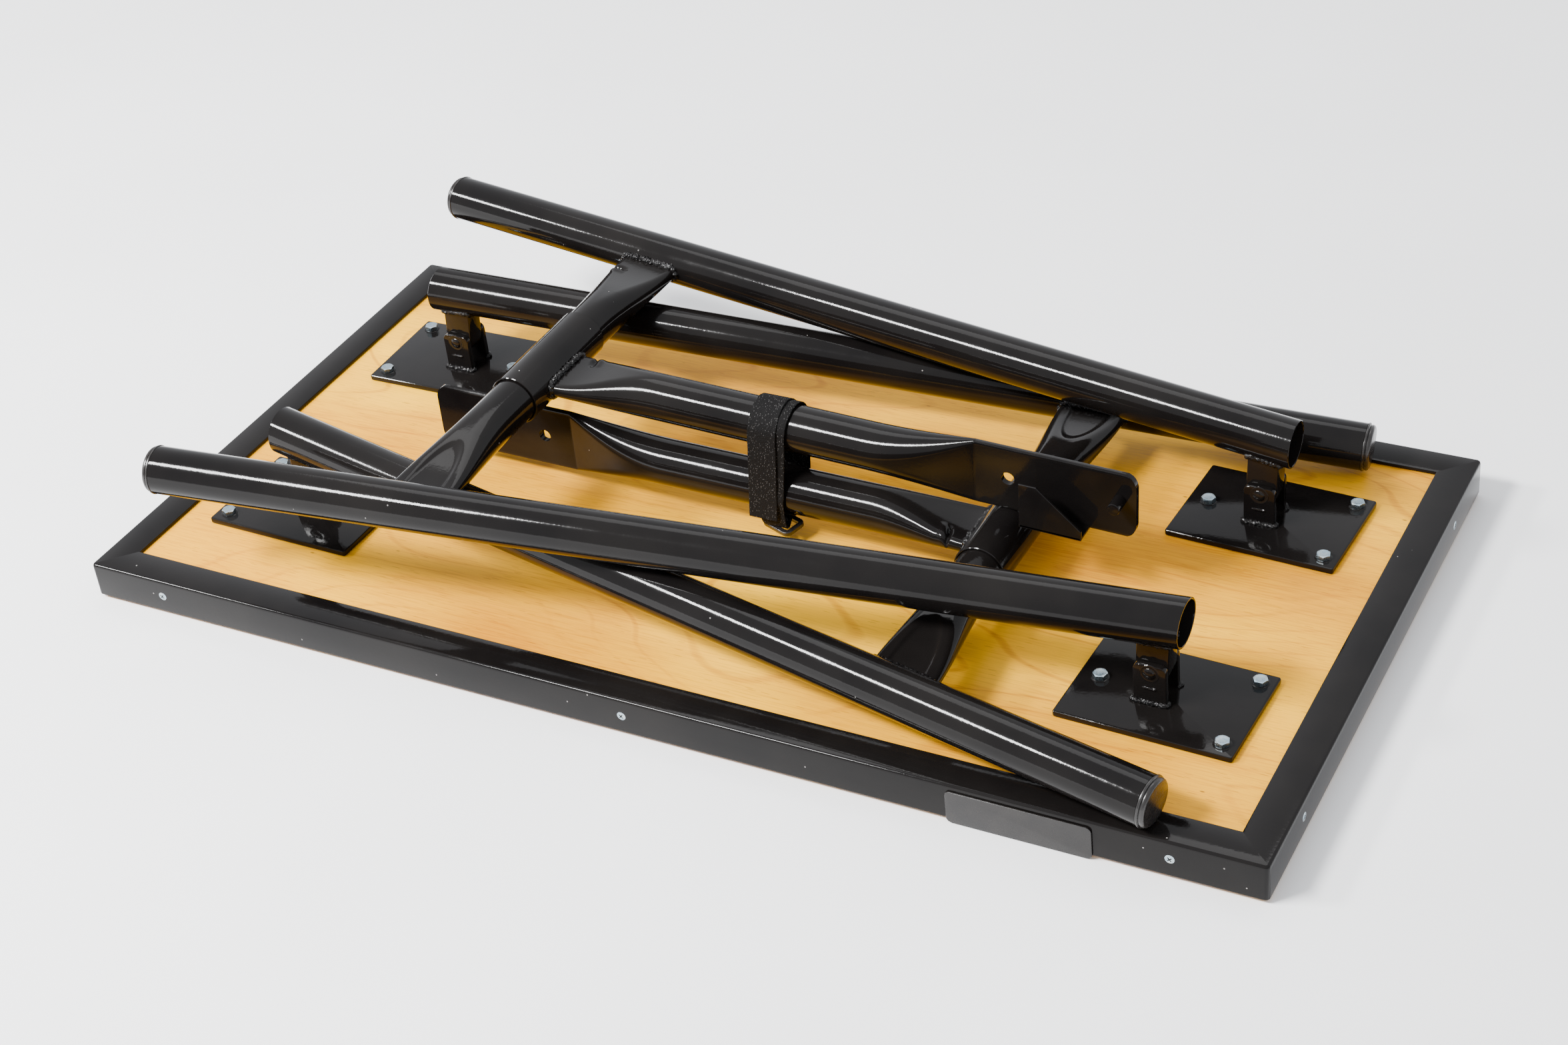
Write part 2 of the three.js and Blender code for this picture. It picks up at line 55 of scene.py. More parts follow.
TOP_LENGTH, TOP_WIDTH = 1000, 508
PANEL_TOP = 29.7
PLATE_BOTTOM, PLATE_TOP = 30, 35
PIN_X, PIN_Z = 366, 62
PLATE_SHIFT = 7.5             # of the hinge plates, outwards from their pins
TUBE_R = 19.05
TUBE_OFFSET = 42.4            # from the hinge pin up to the tubes' axes
OVERHANG = 21.6               # of the tubes behind the pin
CROSSBAR_ALONG = 570

# y: hinge bracket, tube: its tube's axis over the pin, splay: sideways per unit along the leg,
# foot: end of the steel from the pin, turn and shift: how far the plate sits off square and inboard
LEGS = {
    "right": {
        "side": 1,
        "rest": 2.33,
        "front": {"y": -109, "tube": -113, "splay": 0.1606, "foot": 780, "turn": -1.8, "shift": 0},
        "rear": {"y": 124.2, "tube": 129.4, "splay": 0.1101, "foot": 786, "turn": -2.6, "shift": 2.7},
    },
    "left": {
        "side": -1,
        "rest": -3.81,
        "front": {"y": -120.3, "tube": -124.2, "splay": 0.1498, "foot": 775, "turn": -0.9, "shift": 0},
        "rear": {"y": 113.6, "tube": 118, "splay": 0.1224, "foot": 782, "turn": 0.9, "shift": 1.4},
    },
}
BRACES = {"right": {"y": -1, "tilt": -1.7}, "left": {"y": -10, "tilt": 0.5}}
SLEEVE_R, SLEEVE_HALF = 21, 53.5
CREASE, BLADE_END = 383, 513
BLADE_HALF_HEIGHT, BLADE_CORNER = 29, 13
HOLE_ALONG, HOLE_RAISE, HOLE_R = 410, 0.5, 5.5
STUD_ALONG, STUD_RAISE, STUD_R = 499.9, 4.5, 5
CRUSHED_HALF = 5              # half the thickness of a crossbar's crushed end


def leg_place(name):
    leg = LEGS[name]
    return (Matrix.Translation((leg["side"] * PIN_X, 0, PIN_Z))
            @ Matrix.Rotation(pi if leg["side"] > 0 else 0, 4, "Z")
            @ Matrix.Rotation(-radians(leg["rest"]), 4, "Y"))


def sleeve_centre(name):
    leg, lean = LEGS[name], radians(LEGS[name]["rest"])
    inward = CROSSBAR_ALONG * cos(lean) - TUBE_OFFSET * sin(lean)
    height = PIN_Z + CROSSBAR_ALONG * sin(lean) + TUBE_OFFSET * cos(lean)
    return Vector((leg["side"] * (PIN_X - inward), BRACES[name]["y"], height))


def brace_place(name):
    return (Matrix.Translation(sleeve_centre(name))
            @ Matrix.Rotation(0 if LEGS[name]["side"] > 0 else pi, 4, "Z")
            @ Matrix.Rotation(-radians(BRACES[name]["tilt"]), 4, "Y"))


# ---- camera, light and floor ---------------------------------------------------------------------

def add_camera():
    azimuth, elevation, roll = radians(31.033), radians(35.075), radians(6.651)
    back = Vector((sin(azimuth) * cos(elevation), -cos(azimuth) * cos(elevation), sin(elevation)))
    right = Vector((cos(azimuth), sin(azimuth), 0))
    up = back.cross(right)
    axis_x = right * cos(roll) - up * sin(roll)
    axis_y = right * sin(roll) + up * cos(roll)
    data = bpy.data.cameras.new("camera")
    data.sensor_width = 36
    data.lens = 63.1
    data.clip_start = 0.05
    camera = bpy.data.objects.new("camera", data)
    place = Matrix((axis_x, axis_y, back)).transposed().to_4x4()
    place.translation = Vector((0.9378, -1.5481, 1.2932))
    camera.matrix_world = place
    bpy.context.collection.objects.link(camera)
    bpy.context.scene.camera = camera


def add_area(name, place, aim, size, power):
    data = bpy.data.lights.new(name, "AREA")
    data.shape = "RECTANGLE"
    data.size, data.size_y = size
    data.energy = power
    lamp = bpy.data.objects.new(name, data)
    lamp.location = place
    lamp.rotation_euler = (Vector(aim) - Vector(place)).to_track_quat("-Z", "Y").to_euler()
    bpy.context.collection.objects.link(lamp)


def add_studio():
    """A white studio: bright surroundings, two strips beside the camera and a soft one behind."""
    world = bpy.data.worlds.new("studio")
    bpy.context.scene.world = world
    world.use_nodes = True
    background = world.node_tree.nodes["Background"]
    background.inputs["Color"].default_value = (0.94, 0.96, 1, 1)
    background.inputs["Strength"].default_value = 1.35
    add_area("left_strip", (-2.75, -1.5, 2.25), (-0.3, 0, 0), (0.7, 0.34), 150)
    add_area("front_strip", (-1.25, -1.6, 2.3), (0, 0, 0), (0.95, 0.34), 210)
    add_area("back_softbox", (-0.6, 1.4, 3.0), (0, 0, 0), (2.6, 1.1), 27)
    floor = bpy.data.meshes.new("floor")
    reach = 9
    corners = [(-reach, -reach, 0), (reach, -reach, 0), (reach, reach, 0), (-reach, reach, 0)]
    floor.from_pydata(corners, [], [(0, 1, 2, 3)])
    stage = bpy.data.objects.new("floor", floor)
    stage.location.z = -0.0004    # a hair below the work face
    bpy.context.collection.objects.link(stage)
    stage.data.materials.append(floor_material())


# ---- node materials ------------------------------------------------------------------------------

class Shader:
    """A material's node tree, with short calls for the nodes that are used here."""

    def __init__(self, name):
        self.material = bpy.data.materials.new(name)
        self.material.use_nodes = True
        self.tree = self.material.node_tree
        self.bsdf = self.tree.nodes["Principled BSDF"]
        self.object = self.add("ShaderNodeTexCoord").outputs["Object"]

    def add(self, kind, **settings):
        node = self.tree.nodes.new(kind)
        for key, value in settings.items():
            setattr(node, key, value)
        return node

    def wire(self, value, socket):
        if isinstance(value, bpy.types.NodeSocket):
            self.tree.links.new(value, socket)
        else:
            socket.default_value = value

    def set(self, **values):
        for key, value in values.items():
            self.wire(value, self.bsdf.inputs[key.replace("_", " ")])

    def math(self, operation, a, b=0.0):
        node = self.add("ShaderNodeMath", operation=operation)
        self.wire(a, node.inputs[0])
        self.wire(b, node.inputs[1])
        return node.outputs[0]

    def moved(self, vector, scale, shift=(0, 0, 0)):
        node = self.add("ShaderNodeMapping")
        self.wire(vector, node.inputs["Vector"])
        node.inputs["Scale"].default_value = scale
        node.inputs["Location"].default_value = shift
        return node.outputs[0]

    def noise(self, vector, scale, detail=2.0, roughness=0.5, colour=False):
        node = self.add("ShaderNodeTexNoise")
        self.wire(vector, node.inputs["Vector"])
        node.inputs["Scale"].default_value = scale
        node.inputs["Detail"].default_value = detail
        node.inputs["Roughness"].default_value = roughness
        return node.outputs["Color" if colour else "Fac"]

    def cells(self, vector, scale, output="Distance"):
        node = self.add("ShaderNodeTexVoronoi")
        self.wire(vector, node.inputs["Vector"])
        node.inputs["Scale"].default_value = scale
        return node.outputs[output]

    def some_cells(self, vector, scale, above):
        """The distance in each cell, and 1 in the share of the cells whose chance is above a limit."""
        place = self.moved(vector, scale)
        chance = self.cells(place, 1, output="Color")
        return self.cells(place, 1), self.math("GREATER_THAN", chance, above)

    def ramp(self, value, *stops):
        """A colour for the value, between (place, colour) stops."""
        node = self.add("ShaderNodeValToRGB")
        self.wire(value, node.inputs["Fac"])
        elements = node.color_ramp.elements
        while len(elements) < len(stops):
            elements.new(0.5)
        for element, (place, colour) in zip(elements, stops):
            element.position = place
            element.color = (*colour, 1)
        return node.outputs["Color"]

    def span(self, value, low, high, to_low=0.0, to_high=1.0):
        """The value moved from one range to another, and kept inside it."""
        node = self.add("ShaderNodeMapRange", clamp=True)
        for socket, v in zip(node.inputs, (value, low, high, to_low, to_high)):
            self.wire(v, socket)
        return node.outputs[0]

    def mix(self, factor, a, b, blend="MIX"):
        node = self.add("ShaderNodeMix", data_type="RGBA", blend_type=blend)
        self.wire(factor, node.inputs[0])
        for socket, value in ((node.inputs[6], a), (node.inputs[7], b)):
            self.wire((*value, 1) if isinstance(value, tuple) else value, socket)
        return node.outputs[2]

    def bump(self, height, distance, strength=1.0, normal=None):
        node = self.add("ShaderNodeBump")
        self.wire(height, node.inputs["Height"])
        node.inputs["Distance"].default_value = distance
        node.inputs["Strength"].default_value = strength
        if normal is not None:
            self.wire(normal, node.inputs["Normal"])
        return node.outputs[0]


def floor_material():
    s = Shader("paper_backdrop")
    tone = s.noise(s.object, 3, 3)
    s.set(Base_Color=s.ramp(tone, (0.3, (0.86, 0.86, 0.86)), (0.7, (0.9, 0.9, 0.9))), Roughness=0.9)
    s.set(Specular_IOR_Level=0.1)
    return s.material


def paint_material():
    """Gloss black enamel: faint orange peel, shallow dents and a few dust specks."""
    s = Shader("black_enamel")
    cloud = s.noise(s.object, 14, 3)
    grit = s.cells(s.object, 260)
    chance = s.cells(s.object, 260, output="Color")
    rare = s.math("GREATER_THAN", chance, 0.93)
    speck = s.math("MULTIPLY", s.math("LESS_THAN", grit, 0.16), rare)
    base = s.ramp(cloud, (0.3, (0.0035, 0.003, 0.003)), (0.7, (0.007, 0.006, 0.0055)))
    s.set(Base_Color=s.mix(speck, base, (0.2, 0.19, 0.18)))
    s.set(Roughness=s.span(s.noise(s.object, 35, 4), 0.3, 0.7, 0.05, 0.12))
    peel = s.noise(s.object, 420, 2)
    dents = s.noise(s.object, 60, 2)
    uneven = s.bump(peel, 0.00006, 0.5, s.bump(dents, 0.0002, 0.12))
    s.set(Normal=s.bump(speck, 0.0002, 0.6, uneven), IOR=1.26)
    return s.material


def weld_material():
    """The same enamel over a weld bead: rougher, and lumpy with spatter, so that it sparkles."""
    s = Shader("painted_weld")
    lump = s.noise(s.object, 500, 3)
    spatter = s.cells(s.object, 700)
    base = s.ramp(lump, (0.35, (0.003, 0.0027, 0.0026)), (0.75, (0.009, 0.008, 0.008)))
    s.set(Base_Color=base, Roughness=s.span(lump, 0.3, 0.7, 0.06, 0.2), IOR=1.34)
    s.set(Normal=s.bump(spatter, 0.001, 0.6, s.bump(lump, 0.0012, 0.8)))
    return s.material


def plywood_material():
    """Varnished face veneer along X: patches of figure, fine fibres, short pores, knots and flecks."""
    s = Shader("veneered_plywood")
    sway = s.noise(s.moved(s.object, (3, 9, 1)), 1, 2, colour=True)
    bent = s.mix(0.035, s.object, sway, "ADD")
    height = s.noise(s.moved(bent, (1.5, 5.2, 1)), 1, 1.5, 0.4)
    figure = s.span(s.math("SINE", s.math("MULTIPLY", height, 150)), -1, 1)
    patch = s.noise(s.moved(s.object, (4, 7, 1), shift=(0.3, 0.1, 0)), 1, 2)
    patch = s.span(patch, 0.42, 0.6, 0.2, 1)
    cloud = s.noise(s.moved(s.object, (2.2, 5, 1)), 1, 3)
    fibre = s.noise(s.moved(s.object, (26, 620, 1)), 1, 4, 0.65)
    dark, middle, light = (0.42, 0.13, 0.001), (0.7, 0.31, 0.002), (1, 0.53, 0.006)
    tint = s.ramp(cloud, (0.3, dark), (0.5, middle), (0.68, light))
    line = s.math("MULTIPLY", s.span(figure, 0.95, 1.0, 0, 0.5), patch)
    tint = s.mix(line, tint, (0.34, 0.09, 0.003))
    shade = s.math("MULTIPLY", s.span(figure, -0.4, 0.95, 0, 0.16), patch)
    tint = s.mix(shade, tint, (0.52, 0.16, 0.003))
    tint = s.mix(s.span(fibre, 0.35, 0.75, 0, 0.3), tint, (0.98, 0.5, 0.006))
    tint = s.mix(s.span(fibre, 0.5, 0.3, 0, 0.35), tint, (0.38, 0.12, 0.001))
    pore, picked = s.some_cells(s.object, (70, 900, 1), 0.78)
    pore = s.math("MULTIPLY", s.math("LESS_THAN", pore, 0.28), picked)
    tint = s.mix(s.math("MULTIPLY", pore, 0.4), tint, (0.16, 0.04, 0.003))
    knot, picked = s.some_cells(bent, (5, 9, 1), 0.8)
    knot = s.math("MULTIPLY", s.span(knot, 0.012, 0.05, 0.8, 0), picked)
    tint = s.mix(knot, tint, (0.07, 0.02, 0.004))
    fleck, picked = s.some_cells(s.object, (60, 150, 1), 0.9)
    fleck = s.math("MULTIPLY", s.span(fleck, 0.08, 0.16, 0.7, 0), picked)
    tint = s.mix(fleck, tint, (0.1, 0.03, 0.003))
    s.set(Base_Color=tint, Roughness=s.span(fibre, 0.3, 0.7, 0.3, 0.42), IOR=1.22)
    s.set(Normal=s.bump(fibre, 0.00006, 0.5, s.bump(cloud, 0.0006, 0.15)))
    return s.material


def zinc_material():
    """Bright zinc plating with a blue cast and a faint yellow bloom."""
    s = Shader("zinc_plate")
    bloom = s.noise(s.object, 180, 3)
    tint = s.ramp(bloom, (0.35, (0.3, 0.4, 0.47)), (0.6, (0.44, 0.5, 0.52)), (0.8, (0.5, 0.48, 0.42)))
    brushed = s.noise(s.object, 900, 3)
    s.set(Base_Color=tint, Metallic=1.0, Roughness=s.span(brushed, 0.3, 0.7, 0.22, 0.42))
    s.set(Normal=s.bump(s.noise(s.object, 1500, 2), 0.00008, 0.6))
    return s.material


def plastic_material():
    """Injection-moulded black plastic with a fine even texture."""
    s = Shader("black_plastic")
    tone = s.noise(s.object, 60, 3)
    s.set(Base_Color=s.ramp(tone, (0.3, (0.006, 0.005, 0.005)), (0.7, (0.012, 0.01, 0.009))))
    s.set(Roughness=s.span(s.noise(s.object, 220, 3), 0.3, 0.7, 0.2, 0.34), IOR=1.48)
    s.set(Normal=s.bump(s.cells(s.object, 1400), 0.00005, 0.5))
    return s.material


def strap_material():
    """Woven tape in the strap's own map: U across and V along it, both in metres."""
    s = Shader("hook_and_loop_webbing")
    tape = s.add("ShaderNodeUVMap", uv_map="tape").outputs[0]
    stitch, picked = s.some_cells(tape, (1000, 760, 1), 0.62)
    fuzz = s.noise(s.object, 2600, 3)
    glint = s.math("MULTIPLY", picked, s.span(stitch, 0.1, 0.45, 1, 0))
    base = s.ramp(fuzz, (0.3, (0.0008, 0.0007, 0.0007)), (0.7, (0.0035, 0.0032, 0.003)))
    s.set(Base_Color=s.mix(s.math("MULTIPLY", glint, 0.8), base, (0.075, 0.072, 0.07)))
    s.set(Roughness=s.span(fuzz, 0.3, 0.7, 0.7, 0.95), Specular_IOR_Level=0.14)
    s.set(Normal=s.bump(stitch, 0.0004, 0.7, s.bump(fuzz, 0.0002, 0.5)))
    return s.material


# ---- mesh helpers --------------------------------------------------------------------------------

WELD_SHARP = 80               # degrees, so that a bead is shaded smooth all over


def shade_smooth(mesh, sharp, join=False):
    """Turns the faces outwards and shades them smooth, except at edges sharper than an angle."""
    work = bmesh.new()
    work.from_mesh(mesh)
    if join:
        bmesh.ops.remove_doubles(work, verts=work.verts, dist=1e-7)
    bmesh.ops.recalc_face_normals(work, faces=work.faces)
    for face in work.faces:
        face.smooth = True
    for edge in work.edges:
        edge.smooth = len(edge.link_faces) != 2 or edge.calc_face_angle(0) <= radians(sharp)
    work.to_mesh(mesh)
    work.free()


def add_piece(name, verts, faces, material, slot, body, place=None, replaces=(), sharp=32):
    """A mesh object from millimetre points, on a body and standing for the nodes it replaces."""
    mesh = bpy.data.meshes.new(name)
    mesh.from_pydata([Vector(v) * MM for v in verts], [], faces)
    shade_smooth(mesh, sharp, join=True)
    mesh.materials.append(material)
    piece = bpy.data.objects.new(name, mesh)
    bpy.context.collection.objects.link(piece)
    if place is not None:
        metres = place.copy()
        metres.translation = place.translation * MM
        piece.matrix_world = metres
    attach(piece, body)
    if replaces:
        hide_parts(*replaces)
    return piece


def circle(sides):
    return [(cos(2 * pi * i / sides), sin(2 * pi * i / sides)) for i in range(sides)]


class Build:
    """Gathers several closed shells, in millimetres, into one mesh."""

    def __init__(self):
        self.verts, self.faces = [], []

    def shell(self, verts, faces):
        start = len(self.verts)
        self.verts += [tuple(v) for v in verts]
        self.faces += [tuple(i + start for i in face) for face in faces]
        return self

    def loft(self, rings, cap=True, loop=False):
        """Skins rings of equal length. cap closes both ends, loop joins the last ring to the first."""
        n = len(rings[0])
        verts = [p for ring in rings for p in ring]
        faces = []
        last = len(rings) if loop else len(rings) - 1
        for k in range(last):
            a, b = k * n, (k + 1) % len(rings) * n
            faces += [(a + i, a + (i + 1) % n, b + (i + 1) % n, b + i) for i in range(n)]
        if cap and not loop:
            faces += [tuple(range(n))[::-1], tuple(range((len(rings) - 1) * n, len(rings) * n))]
        return self.shell(verts, faces)

    def lathe(self, profile, sides, origin, axis, across=None):
        """Turns (radius, along) pairs about an axis. The profile starts and ends on the axis."""
        axis = Vector(axis).normalized()
        side = Vector(across) if across is not None else axis.orthogonal().normalized()
        other = axis.cross(side)
        rings = []
        for r, along in profile:
            centre = Vector(origin) + axis * along
            rings.append([centre + (side * c + other * s) * max(r, 0.001) for c, s in circle(sides)])
        return self.loft(rings)

    def bead(self, path, radius, closed=False, seed=0, up=(0, 0, 1)):
        """A lumpy weld bead along a path of points, its ends drawn thin."""
        pitch = 3.2
        points = resample([Vector(p) for p in path], 0.9, closed)
        count = len(points)
        rings = []
        for k, point in enumerate(points):
            ahead = points[(k + 1) % count] if closed else points[min(k + 1, count - 1)]
            behind = points[k - 1] if closed or k else points[0]
            run = (ahead - behind).normalized()
            side = run.cross(Vector(up))
            side = side.normalized() if side.length > 1e-3 else run.orthogonal().normalized()
            over = side.cross(run)
            fade = 1 if closed else min(1, 0.25 + min(k, count - 1 - k) / 3)
            swell = (0.74 + 0.42 * abs(sin(pi * k * 0.9 / pitch + seed))) * fade
            ring = []
            for c, s in circle(10):
                out = side * c + over * s
                rough = noise.noise(point * 0.55 + out * 1.3 + Vector((seed * 7.1, 0, 0)))
                ring.append(point + out * radius * (swell + 0.55 * rough))
            rings.append(ring)
        return self.loft(rings, loop=closed)

    def finish(self, name, material, slot, body, **options):
        return add_piece(name, self.verts, self.faces, material, slot, body, **options)


def resample(points, step, closed):
    """The same path, with points about a step apart."""
    path = points + [points[0]] if closed else points
    out, carry = [], 0.0
    for a, b in zip(path, path[1:]):
        length = (b - a).length
        while carry < length:
            out.append(a.lerp(b, carry / length))
            carry += step
        carry -= length
    if not closed:
        out.append(path[-1])
    return out


def rounded_rectangle(half_x, half_y, radius, steps=6):
    """The outline about the origin, anticlockwise, with some steps in each corner."""
    points = []
    for k, (sx, sy) in enumerate(((1, 1), (-1, 1), (-1, -1), (1, -1))):
        centre = (sx * (half_x - radius), sy * (half_y - radius))
        for i in range(steps + 1):
            angle = pi / 2 * (k + i / steps)
            points.append((centre[0] + radius * cos(angle), centre[1] + radius * sin(angle)))
    return points


def slab(build, outline, lift, low, high, edge=0.6):
    """A plate between two heights with rounded rims. lift turns (u, v, height) into a point."""
    area = sum(a[0] * b[1] - b[0] * a[1] for a, b in zip(outline, outline[1:] + outline[:1]))
    points = [Vector((u, v)) for u, v in (outline if area > 0 else outline[::-1])]
    inwards = []
    for i, point in enumerate(points):
        run_in = (point - points[i - 1]).normalized()
        run_out = (points[(i + 1) % len(points)] - point).normalized()
        inward_a, inward_b = Vector((-run_in.y, run_in.x)), Vector((-run_out.y, run_out.x))
        half = (inward_a + inward_b).normalized()
        inwards.append(half / max(0.4, half.dot(inward_a)))
    steps = [(1, 0), (0.45, 0.12), (0.12, 0.45), (0, 1)]
    levels = [(edge * a, low + edge * b) for a, b in steps]
    levels += [(edge * a, high - edge * b) for a, b in steps[::-1]]
    rings = []
    for inset, height in levels:
        rings.append([lift(p.x + w.x * inset, p.y + w.y * inset, height)
                      for p, w in zip(points, inwards)])
    return build.loft(rings)


def crushed_ring(half_thin, count):
    """(along the wide way, along the thin way) round a tube crushed to a stadium, its girth kept."""
    girth = 2 * pi * TUBE_R
    flat = max(0.0, (girth - 2 * pi * half_thin) / 4)
    quarter = flat + pi * half_thin / 2
    points = []
    for i in range(count):
        q, s = divmod(i * 4 * quarter / count, quarter)
        if q % 2:
            s = quarter - s
        if s <= flat:
            wide, thin = s, half_thin
        else:
            angle = (s - flat) / half_thin
            wide, thin = flat + half_thin * sin(angle), half_thin * cos(angle)
        points.append((wide * (1 if q in (0, 1) else -1), thin * (1 if q in (0, 3) else -1)))
    return points


def smooth(value, low, high):
    """From 0 at low to 1 at high, level at both."""
    t = min(1, max(0, (value - low) / (high - low)))
    return t * t * (3 - 2 * t)


def tongue(reach, wide, thin, length, depth):
    """The hollow that a press leaves in the upper face of a crushed end."""
    half_wide = 17
    if thin <= 0:
        return 0
    return depth * smooth(1 - (wide / half_wide) ** 2 - (reach / length) ** 2, 0, 0.35)


def slit(along, wide, thin, centre):
    """How far a short fold across one edge of a crushed end pushes its upper face down."""
    edge, half_length = TUBE_R * 1.2, 13
    reach = (wide - edge) / half_length
    if thin <= 0 or abs(reach) >= 1:
        return 0
    lens = sqrt(1 - reach ** 2)
    bent = along - centre - 2.5 * reach ** 2
    groove = 3.1 * exp(-(bent / 1.9) ** 2)
    ridge = 0.9 * exp(-((bent - 5.5) / 2.8) ** 2)
    return (groove - ridge) * lens


# ---- worktop -------------------------------------------------------------------------------------

def add_panel():
    build = Build()
    inset = 3.3
    outline = rounded_rectangle(TOP_LENGTH / 2 - inset, TOP_WIDTH / 2 - inset, 0.8, 2)
    slab(build, outline, lambda u, v, h: (u, v, h), 0, PANEL_TOP, 0.5)
    build.finish("plywood_panel", PLYWOOD, "plywood", "worktop", replaces=["worktop_panel"])


def add_rails():
    """The angle frame with rounded welded corners."""
    section = [               # inset from the outer face, and height
        (0.5, 3.0), (0.1, 3.3), (0, 3.9), (0, 30.2), (0.15, 31.2), (0.6, 32.1), (1.3, 32.7), (2.4, 33),
        (27.7, 33), (28.3, 32.7), (28.6, 32), (28.6, 30.8), (28.4, 30.2), (27.8, 30), (4, 30), (3.3, 29.8),
        (3, 29.2), (3, 3.8), (2.8, 3.2), (2.4, 3.0),
    ]
    rings = []
    for inset, z in section:
        outline = rounded_rectangle(TOP_LENGTH / 2 - inset, TOP_WIDTH / 2 - inset, max(3.6 - inset, 0.02), 6)
        rings.append([(x, y, z) for x, y in outline])
    build = Build()
    build.loft(rings, cap=False, loop=True)
    names = [f"{n}_rail" for n in ("front", "right", "rear", "left")]
    build.finish("angle_frame", PAINT, "black_paint", "worktop", replaces=names)


def add_badge():
    build = Build()
    x0, x1, z0, z1 = 264, 374, 0.4, 28.4
    face = -TOP_WIDTH / 2 - 0.3
    centre = ((x0 + x1) / 2, (z0 + z1) / 2)
    outline = rounded_rectangle((x1 - x0) / 2, (z1 - z0) / 2, 4)
    slab(build, outline, lambda u, v, h: (centre[0] + u, face - h, centre[1] + v), 0, 1.5, 0.5)
    build.finish("blank_badge", PLASTIC, "black_plastic", "worktop", replaces=["badge_plate"])


def screw_head():
    """A countersunk head, still without its recess, facing local -Y."""
    proud = 0.45
    profile = [(0, 0), (1.2, 0), (2.2, 0.05), (3.2, 0.25), (3.85, 0.6), (4, 1), (3.2, 1.9), (0, 3)]
    profile = [(r, along - proud) for r, along in profile]
    return Build().lathe(profile, 48, (0, 0, 0), (0, 1, 0), (1, 0, 0))


def cross_cutter():
    """Two tapered blades across each other. One reaches a little deeper, so no faces coincide."""
    build = Build()
    for turn in (0, pi / 2):
        rings = []
        for h in (-2 + 0.01 * turn, 1.1 + 0.01 * turn):
            narrow = 1 - 0.35 * (h + 1) / 3
            blade = [(2.2, 0.5), (-2.2, 0.5), (-2.2, -0.5), (2.2, -0.5)]
            blade = [(u * narrow, v * narrow) for u, v in blade]
            rings.append([(u * cos(turn) - v * sin(turn), h, u * sin(turn) + v * cos(turn))
                          for u, v in blade])
        build.loft(rings)
    return build


def carve(piece, cutter, sharp=32):
    """Cuts a build's shells out of a piece, bakes the result into its mesh and shades it anew."""
    mesh = bpy.data.meshes.new("cutter")
    mesh.from_pydata([Vector(v) * MM for v in cutter.verts], [], cutter.faces)
    shade_smooth(mesh, sharp)
    tool = bpy.data.objects.new("cutter", mesh)
    tool.matrix_world = piece.matrix_world
    bpy.context.collection.objects.link(tool)
    mod = piece.modifiers.new("cut", "BOOLEAN")
    mod.operation = "DIFFERENCE"
    mod.solver = "EXACT"
    mod.use_self = True
    mod.object = tool
    bpy.context.view_layer.update()
    cut = piece.evaluated_get(bpy.context.evaluated_depsgraph_get())
    shaped = bpy.data.meshes.new_from_object(cut)
    piece.modifiers.clear()
    piece.data = shaped
    bpy.data.objects.remove(tool)
    shade_smooth(piece.data, sharp)


def add_rail_screws():
    """Ten screws, each with its cross turned at random. They share the first one's carved mesh."""
    height = 18
    spots = [(x, -TOP_WIDTH / 2, 0) for x in (-430, 0, 430)]
    spots += [(x, TOP_WIDTH / 2, pi) for x in (-430, 0, 430)]
    spots += [(TOP_LENGTH / 2, y, pi / 2) for y in (-181, 181)]
    spots += [(-TOP_LENGTH / 2, y, -pi / 2) for y in (-181, 181)]
    shared = None
    for i, (x, y, turn) in enumerate(spots, 1):
        place = (Matrix.Translation((x, y, height)) @ Matrix.Rotation(turn, 4, "Z")
                 @ Matrix.Rotation(0.5 + i * 1.7, 4, "Y"))
        name = f"rail_screw_{i:02d}"
        piece = screw_head().finish(f"cross_{name}", ZINC, "zinc", "worktop", place=place, replaces=[name])
        if shared is None:
            carve(piece, cross_cutter())
            shared = piece.data
        else:
            piece.data = shared


# ---- hinge brackets ------------------------------------------------------------------------------

BOLT_PLACES = [(-51.8, 0), (56.8, 36.8), (56.8, -36.8)]    # from the plate's centre, +X outwards


def brackets():
    """Name, side, pin place and plate place. A plate sits a little askew under its square ears."""
    for name, leg in LEGS.items():
        side = leg["side"]
        for end in ("front", "rear"):
            spot = leg[end]
            centre = Matrix.Translation((side * (PIN_X + PLATE_SHIFT - spot["shift"]), spot["y"], 0))
            pin = Matrix.Translation((side * PIN_X, spot["y"], PIN_Z))
            yield f"{name}_{end}", side, pin, centre @ Matrix.Rotation(radians(spot["turn"]), 4, "Z")


def add_hinge_plate(name, side, pin, plate):
    build = Build()
    outline = rounded_rectangle(68.5, 48.5, 2.0, 4)
    slab(build, outline, lambda u, v, h: plate @ Vector((u, v, h)), PLATE_BOTTOM, PLATE_TOP, 1.3)
    ear = rounded_ear()
    for low, high in ((9.3, 14.3), (-14.3, -9.3)):
        slab(build, ear, lambda u, v, h: pin @ Vector((u, h, v)), low, high, 0.7)
    for u, v in BOLT_PLACES:
        seat = [(0, 0), (6.9, 0), (6.9, 0.15), (6.4, 0.45), (0, 0.45)]
        build.lathe(seat, 32, plate @ Vector((side * u, v, PLATE_TOP - 0.1)), (0, 0, 1))
    build.finish(f"{name}_hinge_plate", PAINT, "black_paint", "worktop",
                 replaces=[f"{name}_hinge_bracket"])


